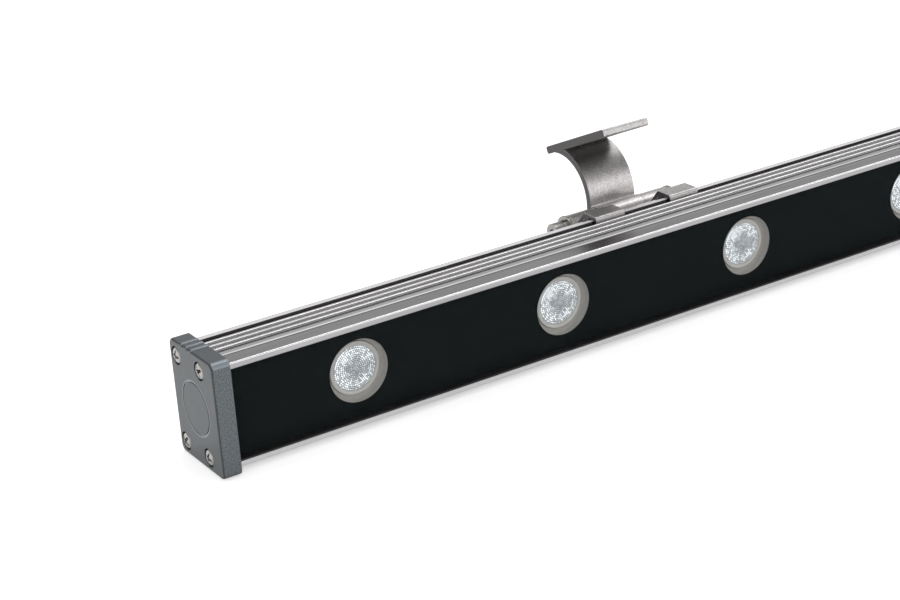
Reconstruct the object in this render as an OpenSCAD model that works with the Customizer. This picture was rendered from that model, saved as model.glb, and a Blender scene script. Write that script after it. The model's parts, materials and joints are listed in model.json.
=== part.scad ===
// Linear wall washer light: an aluminium bar with a black printed glass front,
// six lensed light sources, cast end caps and two hinged clip-on brackets.
// Frame: +X along the bar towards the cable inlet, +Y to the back, +Z up.
// The origin is the middle of the bar's underside.

/* [Bar] */
// Length of the bar that shows between the end caps
bar_l = 504; // [490:1:1200]
// Height of the bar
bar_h = 36; // [35.5:0.1:48]
// Wall of the bar's hollow section
wall = 2; // [1.8:0.1:2.4]
// Depth of the rear chamber that holds the driver
rear_room = 6.2; // [5.8:0.1:12]
// Rounding of the section's outer corners
edge_r = 0.5; // [0.2:0.1:1]
// Width of the flat land behind the upper front edge
land_w = 6.1; // [5:0.1:8]
// Height of the cooling ribs on the top face
rib_h = 1; // [0.6:0.1:1.2]
// Distance from one cooling rib to the next
rib_pitch = 3.3; // [2.8:0.1:3.6]
// Width of the groove that the bracket hooks into
hook_slot_w = 1.7; // [1.5:0.1:2]
// Depth of the groove that the bracket hooks into
hook_slot_h = 1.4; // [1:0.1:1.6]
// Width of the rim behind the hook groove
rim_w = 3.35; // [3:0.05:4]
// Height of the nut slot's middle on the back face
nut_slot_z = 13; // [11:0.5:15]
// Width of the nut slot's mouth
nut_slot_mouth = 4.6; // [4.4:0.1:5]

/* [Front] */
// How far the glass lies behind the front edges
glass_set = 0.5; // [0.2:0.1:1]
// Thickness of the front glass
glass_t = 3; // [2:0.5:5]
// Thickness of the black print behind the glass
print_t = 0.2; // [0.1:0.05:0.3]
// Thickness of the silicone behind the glass
seal_t = 0.4; // [0.2:0.1:1]
// Gap between the glass and the bar's lips, filled with silicone
seal_gap = 0.4; // [0.2:0.1:0.6]

/* [Light sources] */
// Number of light sources
led_n = 6; // [2:1:6]
// Distance from an end cap to the middle of the nearest light source
led_end = 47.75; // [30:0.05:52]
// Gap between a lens holder and the screw ports above it
port_room = 0.4; // [0.3:0.1:1.5]
// How far the lens's flange stays inside the window's edge
flange_in = 1.6; // [1.4:0.1:2.3]
// Width of the plain flange round the lens's patterned face
flange_w = 1.3; // [1.2:0.1:2]
// Thickness of the lens's flange
flange_t = 1; // [0.8:0.1:1.5]
// Height of the lens from its face to the board
lens_h = 8.5; // [7.5:0.1:10]
// Depth of the lens's face behind the printed glass
lens_set = 2.2; // [1:0.1:3]
// Wall of the lens holder
holder_wall = 0.8; // [0.6:0.1:0.9]
// Width of the light source board
board_w = 22; // [20:0.5:24]
// Thickness of the light source board
board_t = 1.6; // [1:0.1:2]
// Thickness of the web that carries the board
web_t = 1.8; // [1.5:0.1:2.5]

/* [Driver] */
// Length of the driver board
driver_l = 96; // [90:1:110]
// Width of the driver board
driver_w = 20; // [19:0.5:21]
// Thickness of the driver board
driver_t = 1.2; // [1:0.1:1.6]
// Thickness of the heat pad under the driver board
pad_t = 0.6; // [0.4:0.1:1]
// Height of the tallest part on the driver board
driver_part_h = 3.6; // [3:0.1:3.8]

/* [End caps] */
// Thickness of an end cap that shows
cap_t = 6.5; // [6:0.1:9]
// How far an end cap stands out round the bar
cap_over = 2; // [1.5:0.1:3]
// Corner radius of an end cap
cap_r = 2.5; // [1.5:0.1:3]
// Rounding of an end cap's outer edges
cap_edge_r = 0.9; // [0.4:0.1:1.2]
// Thickness of an end cap's gasket
gasket_t = 1; // [0.5:0.1:1.5]
// Diameter of the ring that marks the blank inlet
blank_ring_d = 18.4; // [17:0.1:19]

/* [Cable inlet] */
// Thread diameter of the cable gland
gland_d = 12; // [10:0.1:12]
// Width of the gland's hexagon across its flats
gland_af = 15; // [14:0.1:15.6]
// Bore of the gland for the cable
gland_bore = 6.6; // [5:0.1:7]

/* [Bracket] */
// Place of the left bracket's middle along the bar
left_x = -71.5; // [-120:0.5:-60]
// Distance between the two brackets
bracket_gap = 200; // [180:1:220]
// Length of the bracket's clip along the bar
clip_l = 46; // [44:0.5:60]
// Width of the bracket's arm
arm_w = 20; // [16:0.5:22]
// Thickness of the clip's hook over the rim
hook_t = 1.3; // [1.1:0.1:2]
// Thickness of the clip's lip in the groove
lip_t = 1.2; // [1:0.1:1.3]
// Thickness of the clip's leg behind the bar
leg_t = 2.4; // [2:0.1:3]
// Thickness of the two webs that carry the knuckles
clip_web_t = 1.8; // [1.5:0.1:2.2]
// Distance of the hinge axis behind the bar
hinge_back = 13.2; // [12.5:0.1:16]
// Distance of the hinge axis below the bar's top
hinge_drop = 7.7; // [7:0.1:9]
// Outer radius of the clip's knuckles
knuckle_r = 4.8; // [4.5:0.1:5.2]
// Outer radius of the arm's barrel
barrel_r = 5; // [4.5:0.1:5.4]
// Thickness of the arm's blade
blade_t = 2.6; // [2:0.1:3]
// Radius of the blade's hollow front face
blade_r = 18.6; // [18:0.1:19.4]
// Length of the wall plate
plate_l = 39; // [36:0.5:44]
// Thickness of the wall plate
plate_t = 2.9; // [2:0.1:3]
// Height of the wall plate's face above the hinge axis
plate_rise = 30.9; // [30:0.1:32]
// Tilt of the arm at rest
arm_tilt = 23.2; // [0:0.1:40]
// Diameter of the fixing hole in the wall plate
fixing_d = 5.5; // [4:0.1:6.5]
// Distance of the fixing hole from the plate's front end
fixing_in = 10; // [8:0.5:12]

/* [Fasteners] */
// Thread diameter of the cap screws
cap_screw_d = 3; // [3:0.1:3.4]
// Head diameter of the cap screws
cap_screw_head_d = 5.6; // [5:0.1:5.8]
// Length of the cap screws
cap_screw_l = 12; // [9:0.5:16]
// Diameter of the hinge bolt
bolt_d = 4; // [3:0.1:4.6]
// Head diameter of the hinge bolt
bolt_head_d = 7; // [6.5:0.1:7.6]
// Head height of the hinge bolt
bolt_head_h = 4; // [3:0.1:4.5]
// Width of the hinge nut across its flats
nut_af = 7; // [6.8:0.1:7.6]
// Diameter of the clamp screws
clamp_d = 4; // [3.5:0.1:4.1]
// Distance between a bracket's clamp screws
clamp_gap = 30; // [26:0.5:34]

/* [Hidden] */
$fn = 64;
// Overlap of cutting solids past the faces that they cut
cut = 1;
// Running gap between pieces that slide or turn on each other
slide_gap = 0.2;
// Radial gap of a bolt in a bored knuckle
bore_gap = 0.05;
// Gap of a seated piece in its pocket
pocket_gap = 0.15;

// Depths of the front stack, each measured from the bar's front
glass_y = glass_set;
print_y = glass_y + glass_t;
ledge_y = print_y + print_t + seal_t;
ledge_t = 1.5;
ledge_h = 1.5;
lens_y = print_y + print_t + lens_set;
board_y = lens_y + lens_h;
web_y = board_y + board_t;
rear_y = web_y + web_t;
bar_d = rear_y + rear_room + wall;
front = -bar_d / 2;
back = bar_d / 2;
mid_z = bar_h / 2;
half_l = bar_l / 2;
end_x = half_l;

// Top face, from the front to the back
scarf_w = 3.2;
scarf_drop = 0.8;
trough_w = 2.6;
score_w = 0.5;
rib_n = 3;
rib_r = 1;
hook_slot_y = back - rim_w - hook_slot_w;
rib_y = [for (i = [0:rib_n - 1]) hook_slot_y - 1.2 - i * rib_pitch];
ribs_front = rib_y[rib_n - 1] - rib_r;
rim_fall = 0.5;

// Screw ports, measured in from the bar's corners
port_r = 2.3;
port_hole_r = cap_screw_d / 2 - 0.2;
port_front_in = 7.6;
port_back_in = 2.5;
port_top_in = 3.2;
port_low_in = 2.7;
ports = [
    [front + port_front_in, port_low_in],
    [back - port_back_in, port_low_in],
    [front + port_front_in, bar_h - port_top_in],
    [back - port_back_in, bar_h - port_top_in]
];

// Nut slot in the back face
slot_lip_t = 1.6;
nut_t = 2.6;
nut_w = 8.8;
slot_wall = 1.2;
slot_room_w = nut_w + 2 * slide_gap;
slot_room_d = nut_t + 0.6;

// Light sources
led_pitch = (bar_l - 2 * led_end) / (led_n - 1);
led_x = [for (i = [0:led_n - 1]) (i - (led_n - 1) / 2) * led_pitch];
board_end = 24;
board_l = (led_n - 1) * led_pitch + 2 * board_end;
board_screw_x = [for (i = [0:led_n]) (i - led_n / 2) * led_pitch];
board_screw_d = 2.5;
led_side = 3.5;
led_base_h = 0.8;
led_dome_r = 1.4;
holder_r = mid_z - port_top_in - port_r - port_room;
window_d = 2 * (holder_r - holder_wall - 0.3);
flange_d = window_d - 2 * flange_in;
lens_d = flange_d - 2 * flange_w;
holder_gap = 0.6;
step_y = lens_y + flange_t - 0.4;
seat_y = lens_y + flange_t;
lens_foot_r = 3.6;
lens_foot_gap = 0.3;
lens_well_r = 2.6;
lens_well_h = 3.2;

// Web cut back at the inlet end so that the cable reaches the driver
notch_l = half_l - board_l / 2 - 2;
notch_h = 16;

// Driver
slot_top = nut_slot_z + slot_room_w / 2 + slot_wall;
pin_x = led_x[ceil(led_n / 2)] - 0.3 * led_pitch;
pin_d = 1;
pin_gap = 5;
pin_z = [slot_top + 1.2, slot_top + 1.2 + pin_gap];
driver_x = pin_x - 5;
driver_top = bar_h - port_top_in - port_r;
driver_z = driver_top - driver_w / 2;
pin_hole_d = 3;

// End caps and their screws
cap_floor_x = end_x + gasket_t;
cap_out_x = half_l + cap_t;
screw_set = 1.6;
screw_head_h = 2.2;
screw_head_gap = 0.35;
screw_hole_gap = 0.15;
cap_rib_up = 0.35;
ring_w = 0.5;
ring_h = 0.25;

// Cable gland
gland_flange_t = 3.5;
gland_washer_t = 1.2;
gland_neck_l = 6;
gland_nut_l = 9;
gland_nut_r = 7.6;
gland_wall = 1.2;

// Bracket
right_x = left_x + bracket_gap;
hinge_y = back + hinge_back;
hinge_z = bar_h - hinge_drop;
gap_w = arm_w + 2 * slide_gap;
hook_z = bar_h + slide_gap;
hook_top = hook_z + hook_t;
lip_y = back - rim_w - slide_gap - lip_t;
lip_z = bar_h - hook_slot_h + slide_gap;
leg_low = nut_slot_z - 6;
clip_end = clip_l / 2;
// The blade's centre: its front face bulges 0.5 ahead of the hinge axis, and
// its hollow back face runs out nearly level into the underside of the wall plate
blade_back_r = blade_r - blade_t;
arc_y = blade_r - 0.5;
arc_z = plate_rise - plate_t - blade_back_r + 0.3;
foot_d = norm([arc_y, arc_z]) - blade_back_r;
foot_a = atan2(arc_z, arc_y);
plate_back = arc_y + 1.2;
plate_front = plate_back - plate_l;
washer_d = 10;
washer_t = 1;
spring_d = 7.4;
spring_t = 1.5;
hex_key = 3;
nut_h = 3.2;
nut_collar_h = 1.8;
bolt_tip = 1;
clamp_head_d = 7.4;
clamp_head_h = 2.6;
clamp_l = leg_t + slot_lip_t + nut_t + 0.2;

// Places a drawing in the YZ plane and stretches it along X
module along_x(x, l) {
    translate([x, 0, 0]) rotate([90, 0, 90]) linear_extrude(l) children();
}

// A cylinder along +X from a point
module rod_x(p, d, l) {
    translate(p) rotate([0, 90, 0]) cylinder(d = d, h = l);
}

// A cylinder along +Y from a point
module rod_y(p, d, l) {
    translate(p) rotate([-90, 0, 0]) cylinder(d = d, h = l);
}

// A rectangle with round corners, given by two opposite corners
module rounded(a, b, r) {
    translate([a[0] + r, a[1]]) square([b[0] - a[0] - 2 * r, b[1] - a[1]]);
    translate([a[0], a[1] + r]) square([b[0] - a[0], b[1] - a[1] - 2 * r]);
    for (y = [a[0] + r, b[0] - r], z = [a[1] + r, b[1] - r]) translate([y, z]) circle(r);
}

// A rectangle given by two opposite corners
module box2(a, b) {
    translate(a) square([b[0] - a[0], b[1] - a[1]]);
}

// What the top face loses: the scarf behind the land, the trough and the rib bed
module top_relief() {
    land_end = front + land_w;
    scarf_end = land_end + scarf_w;
    polygon([
        [land_end, bar_h + cut], [land_end, bar_h - scarf_drop], [land_end + score_w, bar_h - scarf_drop],
        [scarf_end, bar_h], [scarf_end, bar_h + cut]
    ]);
    box2([scarf_end, bar_h - rib_h * 0.8], [ribs_front, bar_h + cut]);
    difference() {
        box2([ribs_front - 0.01, bar_h - rib_h], [hook_slot_y + 0.01, bar_h + cut]);
        for (y = rib_y) translate([y, bar_h - rib_r]) circle(rib_r);
    }
    box2([hook_slot_y, bar_h - hook_slot_h], [hook_slot_y + hook_slot_w, bar_h + cut]);
    polygon([
        [back - rim_w * 0.6, bar_h], [back + cut, bar_h - rim_fall - cut * 0.25],
        [back + cut, bar_h + cut], [back - rim_w * 0.6, bar_h + cut]
    ]);
}

// The bar's hollow section
module bar_section() {
    difference() {
        rounded([front, 0], [back, bar_h], edge_r);
        top_relief();
        difference() {
            box2([front - cut, wall], [back - wall, bar_h - wall]);
            for (z = [wall, bar_h - wall - ledge_h]) {
                box2([front + ledge_y, z], [front + ledge_y + ledge_t, z + ledge_h]);
            }
            box2([front + web_y, 0], [front + rear_y, bar_h]);
            for (p = ports) translate(p) circle(port_r);
            box2(
                [back - slot_lip_t - slot_room_d - slot_wall, nut_slot_z - slot_room_w / 2 - slot_wall],
                [back, nut_slot_z + slot_room_w / 2 + slot_wall]
            );
        }
        for (p = ports) translate(p) circle(port_hole_r);
        box2(
            [back - slot_lip_t - slot_room_d, nut_slot_z - slot_room_w / 2],
            [back - slot_lip_t, nut_slot_z + slot_room_w / 2]
        );
        box2([back - slot_lip_t - cut, nut_slot_z - nut_slot_mouth / 2], [back + cut, nut_slot_z + nut_slot_mouth / 2]);
    }
}

module housing() {
    color("silver") difference() {
        along_x(-end_x, 2 * end_x) bar_section();
        for (x = board_screw_x) rod_y([x, front + web_y - cut, mid_z], board_screw_d + 0.1, web_t + 2 * cut);
        for (z = pin_z) rod_y([pin_x, front + web_y - cut, z], pin_hole_d, web_t + 2 * cut);
        translate([end_x - notch_l, front + web_y - cut / 2, mid_z - notch_h / 2]) {
            cube([notch_l + cut, web_t + cut, notch_h]);
        }
    }
}

glass_l = 2 * (end_x - slide_gap);
glass_z = wall + seal_gap;
glass_h = bar_h - 2 * glass_z;

module front_glass() {
    color("gray", 0.5) translate([-glass_l / 2, front + glass_y, glass_z]) cube([glass_l, glass_t, glass_h]);
}

module glass_print() {
    color("black") difference() {
        translate([-glass_l / 2, front + print_y, glass_z]) cube([glass_l, print_t, glass_h]);
        for (x = led_x) rod_y([x, front + print_y - cut, mid_z], window_d, print_t + 2 * cut);
    }
}

// Silicone round the long edges of the glass, bedded on the bar's ledges
module glass_seals() {
    color("dimgray") for (side = [0, 1]) mirror([0, 0, side]) translate([0, 0, -side * bar_h]) {
        along_x(-glass_l / 2, glass_l) {
            box2([front + glass_y, wall], [front + ledge_y, glass_z]);
            box2([front + print_y + print_t, wall], [front + ledge_y, wall + ledge_h]);
        }
    }
}

// Section of a slab of the cap, from the bar's end to the face, with the face's two edges rounded
module slab_section(low, high) {
    r = cap_edge_r;
    box2([half_l, low], [cap_out_x - r, high]);
    box2([half_l, low + r], [cap_out_x, high - r]);
    for (y = [low + r, high - r]) translate([cap_out_x - r, y]) circle(r);
}

// A quarter of the round piece that fills a corner of the cap
module cap_corner() {
    r = cap_edge_r;
    rotate([0, 90, 0]) rotate_extrude(angle = 90) {
        box2([0, half_l], [cap_r, cap_out_x - r]);
        box2([0, half_l], [cap_r - r, cap_out_x]);
        translate([cap_r - r, cap_out_x - r]) intersection() {
            circle(r);
            square(r);
        }
    }
}

// An end cap's full body: its corners and the edges of its face are rounded, and
// the bar's ribs are carried over its top
module cap_body() {
    low = [front - cap_over, -cap_over];
    high = [back + cap_over, bar_h + cap_over];
    in_low = [low[0] + cap_r, low[1] + cap_r];
    in_high = [high[0] - cap_r, high[1] - cap_r];
    translate([0, in_high[0], 0]) rotate([90, 0, 0]) linear_extrude(in_high[0] - in_low[0]) {
        slab_section(low[1], high[1]);
    }
    translate([0, 0, in_low[1]]) linear_extrude(in_high[1] - in_low[1]) slab_section(low[0], high[0]);
    translate([0, in_high[0], in_low[1]]) cap_corner();
    translate([0, in_low[0], in_low[1]]) rotate([270, 0, 0]) cap_corner();
    translate([0, in_low[0], in_high[1]]) rotate([180, 0, 0]) cap_corner();
    translate([0, in_high[0], in_high[1]]) rotate([90, 0, 0]) cap_corner();
    intersection() {
        along_x(half_l, cap_t) for (y = rib_y) translate([y, high[1] + cap_rib_up - rib_r]) circle(rib_r);
        translate([0, back, 0]) rotate([90, 0, 0]) linear_extrude(bar_d) slab_section(low[1], high[1] + cap_rib_up);
    }
}

// An end cap at the +X end: a pocket takes the gasket against the bar's end
module end_cap() {
    color("slategray") difference() {
        cap_body();
        along_x(half_l - cut, gasket_t + cut) {
            rounded([front - pocket_gap, -pocket_gap], [back + pocket_gap, bar_h + pocket_gap], edge_r);
        }
        for (p = ports) {
            rod_x([half_l, p[0], p[1]], cap_screw_d + 2 * screw_hole_gap, cap_t + cut);
            rod_x([cap_out_x - screw_set, p[0], p[1]], cap_screw_head_d + 2 * screw_head_gap, screw_set + cut);
        }
        rod_face_ring();
        children();
    }
}

// A shallow ring on the cap's face, round the place of the inlet
module rod_face_ring() {
    translate([cap_out_x - ring_h, 0, mid_z]) rotate([0, 90, 0]) difference() {
        cylinder(d = blank_ring_d, h = ring_h + cut);
        translate([0, 0, -cut]) cylinder(d = blank_ring_d - 2 * ring_w, h = ring_h + 3 * cut);
    }
}

module left_end_cap() {
    mirror([1, 0, 0]) end_cap();
}

module right_end_cap() {
    end_cap() rod_x([half_l, 0, mid_z], gland_d + 2 * bore_gap, cap_t + cut);
}

module cap_gasket(hole_d) {
    color("black") difference() {
        along_x(end_x, gasket_t) rounded([front, 0], [back, bar_h - rim_fall], edge_r);
        for (p = ports) rod_x([end_x - cut, p[0], p[1]], cap_screw_d + 2 * screw_hole_gap, gasket_t + 2 * cut);
        if (hole_d > 0) rod_x([end_x - cut, 0, mid_z], hole_d, gasket_t + 2 * cut);
    }
}

module left_cap_gasket() {
    mirror([1, 0, 0]) cap_gasket(0);
}

module right_cap_gasket() {
    cap_gasket(gland_d + 1);
}

// Four pan-head screws with a cross recess, at the +X end
module cap_screws() {
    color("gainsboro") for (p = ports) translate([cap_out_x - screw_set, p[0], p[1]]) rotate([0, 90, 0]) {
        difference() {
            union() {
                rotate_extrude() intersection() {
                    square([cap_screw_head_d / 2, screw_head_h]);
                    translate([0, screw_head_h - cap_screw_head_d * 0.8]) circle(cap_screw_head_d * 0.8);
                }
                translate([0, 0, -cap_floor_over()]) cylinder(d = cap_screw_d, h = cap_floor_over());
                translate([0, 0, -cap_screw_l]) cylinder(r = port_hole_r - bore_gap, h = cap_screw_l);
            }
            for (a = [0, 90]) rotate(a) translate([-1.5, -0.35, screw_head_h - 1.3]) cube([3, 0.7, 2]);
        }
    }
}

// Length of a cap screw inside the cap and gasket
function cap_floor_over() = cap_t - screw_set;

module left_cap_screws() {
    mirror([1, 0, 0]) cap_screws();
}

module right_cap_screws() {
    cap_screws();
}

module led_board() {
    color("white") difference() {
        translate([-board_l / 2, front + board_y, mid_z - board_w / 2]) cube([board_l, board_t, board_w]);
        for (x = board_screw_x) {
            if (abs(x) < board_l / 2) rod_y([x, front + board_y - cut, mid_z], board_screw_d + 0.5, board_t + 2 * cut);
        }
        for (z = pin_z) rod_y([pin_x, front + board_y - cut, z], pin_d + 0.2, board_t + 2 * cut);
    }
}

module leds() {
    color("khaki") for (x = led_x) translate([x, front + board_y, mid_z]) {
        translate([-led_side / 2, -led_base_h, -led_side / 2]) cube([led_side, led_base_h, led_side]);
        translate([0, -led_base_h, 0]) rotate([90, 0, 0]) intersection() {
            sphere(led_dome_r);
            cylinder(r = led_dome_r + cut, h = led_dome_r + cut);
        }
    }
}

// Round pieces of the optics are drawn as [radius, distance in front of the board]
module at_leds() {
    for (x = led_x) translate([x, front + board_y, mid_z]) rotate([90, 0, 0]) rotate_extrude() children();
}

// The cone's side, a quarter of a parabola from the foot to the flange
function cone_r(t) = lens_foot_r + (lens_d / 2 - lens_foot_r) * pow(t, 0.6);

module lenses() {
    top = lens_h - flange_t;
    color("whitesmoke", 0.6) at_leds() difference() {
        union() {
            box2([0, top], [flange_d / 2, lens_h]);
            polygon(concat(
                [[0, lens_foot_gap]],
                [for (i = [0:8]) [cone_r(i / 8), lens_foot_gap + (top - lens_foot_gap) * i / 8]],
                [[0, top]]
            ));
        }
        box2([-cut, -cut], [lens_well_r, lens_well_h]);
    }
}

// A cup round each lens: foot ring, wall, seat for the flange and a collar up to the glass
module lens_holders() {
    top = lens_h + lens_set - holder_gap;
    step = lens_h - flange_t + 0.4;
    color("lightgray") at_leds() difference() {
        box2([lens_foot_r + 1.3, 0], [holder_r, top]);
        box2([0, step], [holder_r - holder_wall, top + cut]);
        box2([0, lens_h - flange_t], [flange_d / 2 + pocket_gap, top + cut]);
        polygon(concat(
            [[0, lens_foot_gap]],
            [for (i = [0:8]) [cone_r(i / 8) + 0.3, lens_foot_gap + (lens_h - flange_t - lens_foot_gap) * i / 8]],
            [[0, lens_h]]
        ));
        box2([holder_r - 3 * holder_wall, -cut], [holder_r + cut, lens_h - flange_t - 2.5]);
    }
}

module board_screws() {
    color("gainsboro") for (x = board_screw_x) if (abs(x) < board_l / 2) {
        rod_y([x, front + board_y - 1.8, mid_z], board_screw_d + 2.5, 1.8);
        rod_y([x, front + board_y - 0.01, mid_z], board_screw_d, board_t + web_t + 0.01);
    }
}

module driver_pad() {
    color("lightblue") difference() {
        translate([driver_x, front + rear_y, driver_z - driver_w / 2 + 2]) cube([driver_l, pad_t, driver_w - 4]);
        for (z = pin_z) rod_y([pin_x, front + rear_y - cut, z], pin_hole_d, pad_t + 2 * cut);
    }
}

module driver_board() {
    color("seagreen") difference() {
        translate([driver_x, front + rear_y + pad_t, driver_z - driver_w / 2]) cube([driver_l, driver_t, driver_w]);
        for (z = pin_z) rod_y([pin_x, front + rear_y, z], pin_d + 0.2, pad_t + driver_t + cut);
    }
}

// Coil, capacitors, switch, chip and the terminal block for the supply cable
module driver_parts() {
    y = front + rear_y + pad_t + driver_t;
    z = slot_top;
    room = driver_top - z;
    color("dimgray") {
        translate([driver_x + 16, y, z + 1]) cube([12, driver_part_h, room - 2]);
        for (i = [0:2]) {
            translate([driver_x + 34 + i * 9, y + driver_part_h / 2, z + room / 2]) {
                cylinder(d = driver_part_h, h = room - 3, center = true);
            }
        }
        translate([driver_x + 62, y, z + room / 2 - 3]) cube([5, 1.2, 6]);
        translate([driver_x + 70, y, z + room / 2 - 3]) cube([6, 2.4, 6]);
    }
    color("green") difference() {
        translate([driver_x + driver_l - 14, y, z + 0.6]) cube([12, driver_part_h, room - 1.2]);
        for (i = [0:1]) {
            rod_x([driver_x + driver_l - 8, y + driver_part_h / 2, z + room * (0.3 + 0.4 * i)], 2, 8);
        }
    }
}

module board_link_pins() {
    color("gold") for (z = pin_z) {
        rod_y([pin_x, front + board_y - 1, z], pin_d, board_t + web_t + pad_t + driver_t + 2);
    }
}

// Cable gland at the +X end
gland_x = cap_out_x + gland_washer_t;
neck_x = gland_x + gland_flange_t;

module gland_body() {
    color("dimgray") difference() {
        union() {
            rod_x([cap_floor_x, 0, mid_z], gland_d, gland_x - cap_floor_x);
            translate([gland_x, 0, mid_z]) rotate([0, 90, 0]) {
                cylinder(d = gland_af / cos(30), h = gland_flange_t, $fn = 6);
            }
            rod_x([neck_x, 0, mid_z], gland_d, gland_neck_l);
        }
        rod_x([cap_floor_x - cut, 0, mid_z], gland_bore + 0.4, 60);
        rod_x([neck_x + 1, 0, mid_z], gland_d - 2 * gland_wall, 60);
    }
}

module gland_washer() {
    color("black") difference() {
        rod_x([cap_out_x, 0, mid_z], gland_af, gland_washer_t);
        rod_x([cap_out_x - cut, 0, mid_z], gland_d + 0.2, gland_washer_t + 2 * cut);
    }
}

module gland_seal() {
    color("black") difference() {
        rod_x([neck_x + 1, 0, mid_z], gland_d - 2 * gland_wall - 0.1, gland_neck_l - 0.3);
        rod_x([neck_x, 0, mid_z], gland_bore, gland_neck_l + 2);
    }
}

module gland_nut() {
    color("dimgray") translate([neck_x + 0.3, 0, mid_z]) rotate([0, 90, 0]) difference() {
        union() {
            cylinder(d = gland_af / cos(30), h = gland_nut_l * 0.6, $fn = 6);
            rotate_extrude() intersection() {
                square([gland_nut_r - 0.4, gland_nut_l]);
                translate([0, gland_nut_l - 8.6]) circle(8.6);
            }
        }
        translate([0, 0, -cut]) cylinder(d = gland_d + 0.1, h = gland_neck_l + cut + 0.5);
        cylinder(d = gland_bore + 0.8, h = 20);
    }
}

// Moves a point to the right of the way from it to the next one
function inset(p, q, t) = p + t * [q[1] - p[1], p[0] - q[0]] / norm(q - p);

// Height of the line through two points at a given place
function line_z(p, q, y) = p[1] + (q[1] - p[1]) * (y - p[0]) / (q[0] - p[0]);

// Section of the bracket's clip: hook over the rim, leg, two webs round a cell and the knuckle
module clip_section() {
    a = [back + 3.1, hook_top - 0.5];
    b = [hinge_y - knuckle_r + 0.4, hinge_z + 1.9];
    c = [hinge_y - 2.6, hinge_z - knuckle_r + 0.9];
    d = [back + leg_t - 0.4, leg_low + 12.5];
    a2 = inset(a, b, clip_web_t);
    b2 = inset(b, a, -clip_web_t);
    c2 = inset(c, d, clip_web_t);
    d2 = inset(d, c, -clip_web_t);
    y1 = back + leg_t;
    y2 = hinge_y - knuckle_r + 0.8;
    difference() {
        union() {
            rounded([lip_y, hook_z - 0.8], [back + 2, hook_top], 1);
            rounded([lip_y, lip_z], [lip_y + lip_t, hook_z + 0.8], 0.5);
            box2([back, leg_low], [y1, hook_z]);
            difference() {
                polygon([[back + 0.5, hook_top], [back + 2.5, hook_top], a, b, [hinge_y, hinge_z], c, d, [back + 0.5, d[1]]]);
                polygon([
                    [y1, line_z(a2, b2, y1)], [y2, line_z(a2, b2, y2)],
                    [y2, line_z(c2, d2, y2)], [y1, line_z(c2, d2, y1)]
                ]);
            }
            translate([hinge_y, hinge_z]) circle(knuckle_r);
        }
        translate([hinge_y, hinge_z]) circle(bolt_d / 2 + bore_gap);
        box2([lip_y + lip_t, lip_z - cut], [back, hook_z]);
    }
}

// The clip: the full section left and right of the arm, and the leg alone behind it
module clip(x) {
    side_l = (clip_l - gap_w) / 2;
    color("silver") difference() {
        union() {
            along_x(x - clip_end, side_l) clip_section();
            along_x(x + clip_end - side_l, side_l) clip_section();
            along_x(x - gap_w / 2 - 1, gap_w + 2) box2([back, leg_low], [back + leg_t, bar_h - 2]);
        }
        for (s = [-1, 1]) rod_y([x + s * clamp_gap / 2, back - cut, nut_slot_z], clamp_d + 0.4, leg_t + 2 * cut);
    }
}

module nut_bar(x) {
    color("gainsboro") difference() {
        translate([x - clamp_gap / 2 - 5, back - slot_lip_t - nut_t, nut_slot_z - nut_w / 2]) {
            cube([clamp_gap + 10, nut_t, nut_w]);
        }
        for (s = [-1, 1]) {
            rod_y([x + s * clamp_gap / 2, back - slot_lip_t - nut_t - cut, nut_slot_z], clamp_d + 0.1, nut_t + 2 * cut);
        }
    }
}

module clamp_screws(x) {
    color("gainsboro") for (s = [-1, 1]) translate([x + s * clamp_gap / 2, back + leg_t, nut_slot_z]) {
        rotate([90, 0, 0]) cylinder(d = clamp_d, h = clamp_l);
        difference() {
            rotate([-90, 0, 0]) cylinder(d = clamp_head_d, h = clamp_head_h);
            translate([0, clamp_head_h - 1.4, 0]) rotate([-90, 0, 0]) cylinder(d = 2.5 / cos(30), h = 2, $fn = 6);
        }
    }
}

module hinge_bolt(x) {
    head_x = x - clip_end - washer_t - spring_t;
    shank = clip_l + 2 * washer_t + spring_t + nut_h + nut_collar_h + bolt_tip;
    color("gainsboro") difference() {
        union() {
            rod_x([head_x - bolt_head_h, hinge_y, hinge_z], bolt_head_d, bolt_head_h);
            rod_x([head_x - 0.01, hinge_y, hinge_z], bolt_d, shank + 0.01);
        }
        translate([head_x - bolt_head_h - cut, hinge_y, hinge_z]) rotate([0, 90, 0]) {
            cylinder(d = hex_key / cos(30), h = 2 + cut, $fn = 6);
        }
    }
}

module washer(x, d, t) {
    difference() {
        rod_x([x, hinge_y, hinge_z], d, t);
        rod_x([x - cut, hinge_y, hinge_z], bolt_d + 2 * bore_gap, t + 2 * cut);
    }
}

// Two flat washers, and a split spring washer under the head
module hinge_washers(x) {
    color("gainsboro") {
        washer(x - clip_end - washer_t, washer_d, washer_t);
        washer(x + clip_end, washer_d, washer_t);
        difference() {
            washer(x - clip_end - washer_t - spring_t, spring_d, spring_t);
            translate([x - clip_end - washer_t - spring_t - cut, hinge_y, hinge_z + 1]) {
                rotate([20, 0, 0]) cube([spring_t + 2 * cut, 0.6, spring_d]);
            }
        }
    }
}

module hinge_nut(x) {
    nut_x = x + clip_end + washer_t;
    color("gainsboro") difference() {
        union() {
            translate([nut_x, hinge_y, hinge_z]) rotate([0, 90, 0]) cylinder(d = nut_af / cos(30), h = nut_h, $fn = 6);
            rod_x([nut_x, hinge_y, hinge_z], nut_af - 0.6, nut_h + nut_collar_h);
        }
        rod_x([nut_x - cut, hinge_y, hinge_z], bolt_d + 2 * bore_gap, nut_h + nut_collar_h + 2 * cut);
    }
}

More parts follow.
